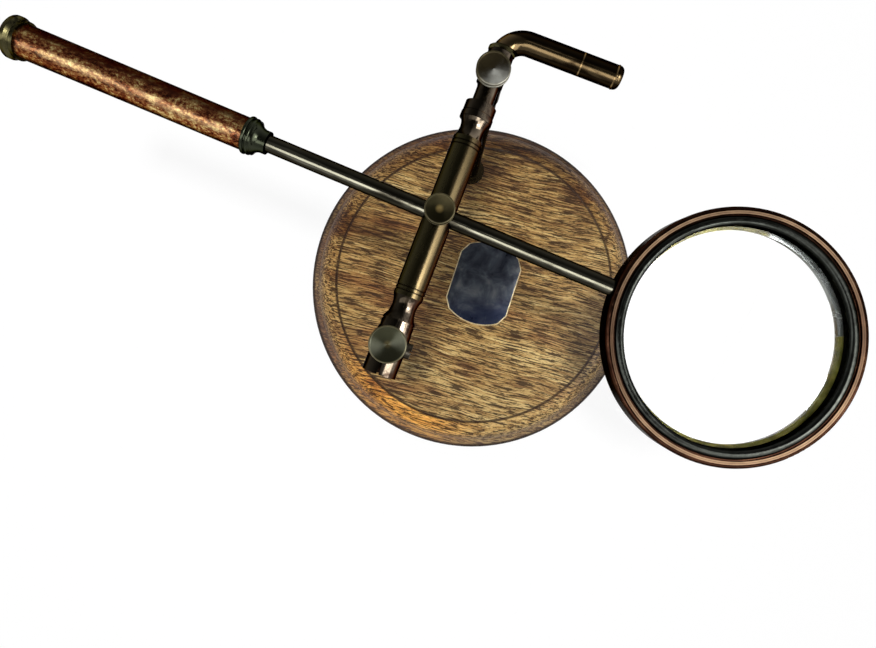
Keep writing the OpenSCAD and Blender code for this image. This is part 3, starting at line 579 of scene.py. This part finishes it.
def turn_on_lathe(name, steps, sides=96):
    """A turned piece about Z, from steps of radius and height. Both ends have radius 0: the first step is
    the point that the first ring closes in, and the last one the point that the last ring is merged to."""
    deselect()
    (_, tip_z), (first_r, first_z) = steps[:2]
    bpy.ops.mesh.primitive_circle_add(vertices=sides, radius=first_r, fill_type="TRIFAN")
    piece = named(name)
    bpy.ops.object.mode_set(mode="EDIT")
    bpy.ops.mesh.select_all(action="SELECT")
    bpy.ops.transform.translate(value=(0.0, 0.0, first_z))
    bpy.ops.object.mode_set(mode="OBJECT")
    for vertex in piece.data.vertices:
        vertex.select = vertex.co.xy.length > first_r * 0.5
        if not vertex.select:
            vertex.co.z = tip_z
    for edge in piece.data.edges:
        edge.select = all(piece.data.vertices[i].select for i in edge.vertices)
    for face in piece.data.polygons:
        face.select = False
    bpy.ops.object.mode_set(mode="EDIT")
    bpy.ops.mesh.select_mode(type="EDGE")
    last_r, last_z = first_r, first_z
    for radius, height in steps[2:]:
        bpy.ops.mesh.extrude_edges_move(TRANSFORM_OT_translate={"value": (0.0, 0.0, height - last_z)})
        if radius == 0.0:
            bpy.ops.mesh.merge(type="CENTER")
        else:
            k = radius / last_r
            bpy.ops.transform.resize(value=(k, k, 1.0), center_override=(0.0, 0.0, height))
        last_r, last_z = radius, height
    bpy.ops.mesh.select_all(action="SELECT")
    bpy.ops.mesh.normals_make_consistent(inside=False)
    bpy.ops.object.mode_set(mode="OBJECT")
    return piece


def copy_of(node, name):
    """A copy of a CAD node with its loose triangles joined up."""
    only(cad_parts[node])
    bpy.ops.object.duplicate()
    piece = named(name)
    piece.parent = None
    piece.matrix_world = Matrix.Identity(4)
    for key in list(piece.keys()):
        del piece[key]
    bpy.ops.object.mode_set(mode="EDIT")
    bpy.ops.mesh.select_all(action="SELECT")
    bpy.ops.mesh.remove_doubles(threshold=1e-6)
    join_coplanar()
    return piece


def bare_plate():
    """The plate, bare: a worn bright bevel round a blue-black field."""
    bevel_width, bevel_drop, eased_width = 0.55 * MM, 0.45 * MM, 0.12 * MM
    piece = copy_of("name_plate", "bare_plate")
    for part in (piece.data.vertices, piece.data.edges, piece.data.polygons):
        for item in part:
            item.select = False
    for face in piece.data.polygons:
        face.select = face.normal.z > 0.9
    bpy.ops.object.mode_set(mode="EDIT")
    bpy.ops.mesh.select_mode(type="FACE")
    bpy.ops.mesh.inset(thickness=bevel_width, depth=0.0)
    bpy.ops.object.mode_set(mode="OBJECT")
    at_top = [vertex for vertex in piece.data.vertices if vertex.co.z > PLATE_TOP - 0.05 * MM]
    field = {i for face in piece.data.polygons if face.select for i in face.vertices}
    for vertex in at_top:
        if vertex.index not in field:
            vertex.co.z -= bevel_drop
    bpy.ops.object.mode_set(mode="EDIT")
    bpy.ops.mesh.select_all(action="SELECT")
    join_coplanar()
    eased = piece.modifiers.new("eased_edge", "BEVEL")
    eased.width = eased_width
    eased.segments = 3
    eased.angle_limit = math.radians(25.0)
    bpy.ops.object.modifier_apply(modifier=eased.name)
    coat(piece, PLATE)
    piece.data.materials.append(PLATE_EDGE.material)
    for face in piece.data.polygons:
        if 0.05 < face.normal.z < 0.985:
            face.material_index = 1
    smooth(piece, 20.0)
    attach(piece, "base")
    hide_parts("name_plate")


def knob_steps(radius):
    """Radius and height of each turned ring of a thumb knob, in millimetres over the foot of its hub."""
    hub_r, hub_h, height, rim = 3.48, 2.4, 4.0, 0.9
    top = hub_h + height
    groove = hub_h + height * 0.5
    steps = [
        (0.0, 0.02), (3.30, 0.02), (hub_r, 0.18), (hub_r, hub_h - 1.10), (3.62, hub_h - 0.72),
        (4.05, hub_h - 0.42), (radius - rim - 0.25, hub_h - 0.04), (radius - 0.55, hub_h + 0.22),
        (radius - 0.12, hub_h + 0.62), (radius - 0.02, hub_h + 0.86),
        (radius - 0.02, groove - 0.28), (radius - 0.20, groove - 0.16),
        (radius - 0.20, groove + 0.16), (radius - 0.02, groove + 0.28),
        (radius - 0.02, top - 0.42), (radius - 0.10, top - 0.16), (radius - 0.30, top - 0.03),
        (radius - 0.52, top - 0.02), (radius - 0.74, top - 0.04), (radius - 0.86, top - 0.14),
    ]
    inner, shallow, dish, rings = radius - 0.95, 0.16, 0.9, 9
    for i in range(rings):
        out = inner * (1.0 - i / rings)
        depth = shallow + (dish - shallow) * (1.0 - (out / inner) ** 1.6)
        steps.append((out, top - depth))
        steps.append((out - inner / rings * 0.45, top - depth - 0.035))
    steps.append((0.0, top - dish - 0.03))
    return steps


def thumb_knob(name, node, body, radius, seat, along, **look):
    """A turned thumb knob over the boom: hub, waisted edge, a rim with a painted highlight and a dished face
    of fine rings.
    radius and seat, which is the height of its seat over the boom's middle line, are in millimetres."""
    clearance = 0.2
    piece = turn_on_lathe(name, [(r * MM, z * MM) for r, z in knob_steps(radius)])
    middle = on_boom(along, 0.0, (seat + clearance) * MM)
    settle(piece, middle)
    coat(piece, spun_brass(name + "_brass", middle, radius, **look))
    smooth(piece, 40.0)
    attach(piece, body)
    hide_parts(node)


def glass_lens():
    """The lens, ground to its two spheres."""
    half, edge, rise, rings = 46.65, 2.4, 3.6, 40
    ball = (half * half + rise * rise) / (2.0 * rise)

    def surface(r):
        return edge / 2 + rise - ball + math.sqrt(ball * ball - r * r)

    radii = [half * i / rings for i in range(rings + 1)]
    steps = [(r * MM, -surface(r) * MM) for r in radii]
    steps += [(r * MM, surface(r) * MM) for r in reversed(radii)]
    piece = turn_on_lathe("glass_lens", steps, 160)
    low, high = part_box("lens")
    settle(piece, (low + high) * 0.5, RING_TILT)
    coat(piece, GLASS)
    smooth(piece, 30.0)
    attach(piece, "magnifier")
    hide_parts("lens")


bare_plate()
thumb_knob(
    "head_thumb_knob", "head_knob", "head_screw", radius=6.6, seat=5.9, along=0.0,
    light=(0.40, 0.40, 0.36), dark=(0.036, 0.028, 0.014), lobes=1, sheen_turn=-1.2, spot=0.0, dull=0.36)
thumb_knob(
    "mid_thumb_knob", "mid_knob", "mid_screw", radius=5.9, seat=6.6, along=CROSS_S,
    light=(0.074, 0.062, 0.030), dark=(0.015, 0.013, 0.006), lobes=1, sheen_turn=0.6, spot=0.5, dull=0.0)
thumb_knob(
    "low_thumb_knob", "low_knob", "low_screw", radius=7.15, seat=7.35, along=LOW_SCREW_S,
    light=(0.108, 0.110, 0.078), dark=(0.026, 0.026, 0.015), lobes=2, sheen_turn=0.15, spot=0.1, dull=0.0)
glass_lens()


# Studio

def studio_floor():
    """White paper that glows to the camera, in shiny metal and through the lens, with faint shadows."""
    deselect()
    floor_size, under_felt = 6.0, (0.0, 0.0, -0.0004)
    bpy.ops.mesh.primitive_plane_add(size=floor_size, location=under_felt)
    floor = bpy.context.active_object
    floor.name = "studio_floor"
    paper = Finish("white_paper", Base_Color=(0.86, 0.86, 0.86, 1.0), Roughness=0.9, Specular_IOR_Level=0.0)
    path = paper.node("ShaderNodeLightPath")
    rays = path.socket.node.outputs
    camera_ray = Value(paper, rays["Is Camera Ray"])
    glossy_ray = Value(paper, rays["Is Glossy Ray"])
    transmission_ray = Value(paper, rays["Is Transmission Ray"])
    seen = (camera_ray * 0.90 + glossy_ray + transmission_ray).clipped()
    strength = transmission_ray * 0.08 + 1.0
    glow = paper.node("ShaderNodeEmission", {}, {"Color": (1.0, 1.0, 1.0), "Strength": strength})
    lit = Value(paper, paper.shader.outputs[0])
    both = paper.node("ShaderNodeMixShader", {}, {0: seen, 1: lit, 2: glow})
    paper.tree.links.new(both.socket, paper.tree.nodes["Material Output"].inputs["Surface"])
    coat(floor, paper)


def studio_sky():
    """Bright at and below the horizon, and dark above it, for the dark reflections in the metal."""
    world = bpy.data.worlds.new("studio_sky")
    bpy.context.scene.world = world
    world.use_nodes = True
    tree = world.node_tree
    way = tree.nodes.new("ShaderNodeTexCoord")
    split = tree.nodes.new("ShaderNodeSeparateXYZ")
    ramp = tree.nodes.new("ShaderNodeValToRGB")
    stops = ramp.color_ramp.elements
    for position, level in ((0.0, 0.85), (0.10, 0.80), (0.24, 0.22), (0.50, 0.10), (1.0, 0.07)):
        stop = stops[0] if position == 0.0 else stops[1] if position == 1.0 else stops.new(position)
        stop.position = position
        stop.color = (level, level, level, 1.0)
    tree.links.new(way.outputs["Generated"], split.inputs[0])
    tree.links.new(split.outputs["Z"], ramp.inputs[0])
    tree.links.new(ramp.outputs[0], tree.nodes["Background"].inputs["Color"])


def lamp(name, place, aim, size, power, long_way=None, on_dull=True, on_polish=True):
    """An area lamp aimed at a point; long_way lays its first side along that way. on_dull and on_polish say
    whether it lights dull surfaces and whether it shows in shiny ones."""
    data = bpy.data.lights.new(name, "AREA")
    data.shape = "RECTANGLE"
    data.size, data.size_y = size
    data.energy = power
    light = bpy.data.objects.new(name, data)
    bpy.context.scene.collection.objects.link(light)
    light.location = place
    back = (Vector(place) - Vector(aim)).normalized()
    if long_way is None:
        light.rotation_euler = back.to_track_quat("Z", "Y").to_euler()
    else:
        back = (back - long_way * back.dot(long_way)).normalized()
        light.rotation_euler = Matrix((long_way, back.cross(long_way), back)).transposed().to_euler()
    light.visible_diffuse = on_dull
    light.visible_glossy = on_polish


def photo_view():
    """The camera, with the place and lens that lay the stand over the one in the photograph."""
    view = bpy.data.cameras.new("photo_view")
    view.sensor_width = 36.0
    view.lens = 26.692
    view.clip_start = 0.01
    view.clip_end = 20.0
    camera = bpy.data.objects.new("photo_view", view)
    bpy.context.scene.collection.objects.link(camera)
    camera.location = (-0.026564, -0.034007, 0.413579)
    camera.rotation_euler = [math.radians(turn) for turn in (1.6071, -0.5689, -1.8409)]
    bpy.context.scene.camera = camera
    bpy.context.scene.view_settings.view_transform = "Standard"


studio_floor()
studio_sky()
lamp("side_window", (0.68, -0.39, 0.80), (0.0, 0.0, 0.12), (0.85, 0.85), 8.5, on_dull=False)
lamp("front_fill", (-0.27, -0.58, 0.92), (0.0, 0.0, 0.12), (0.6, 0.6), 0.7)
lamp("long_strip", (-0.526, -0.309, 0.92), (-0.05, 0.0, 0.16), (1.7, 0.42), 7.0, ROD_WAY, on_dull=False)
lamp("window_pane", (0.62, -0.26, 0.92), (0.0, 0.0, 0.16), (0.14, 0.40), 3.4, on_dull=False)
lamp("overhead_box", (-0.085, 0.05, 1.35), (0.0, 0.0, 0.0), (0.13, 0.13), 16.0, on_polish=False)
photo_view()
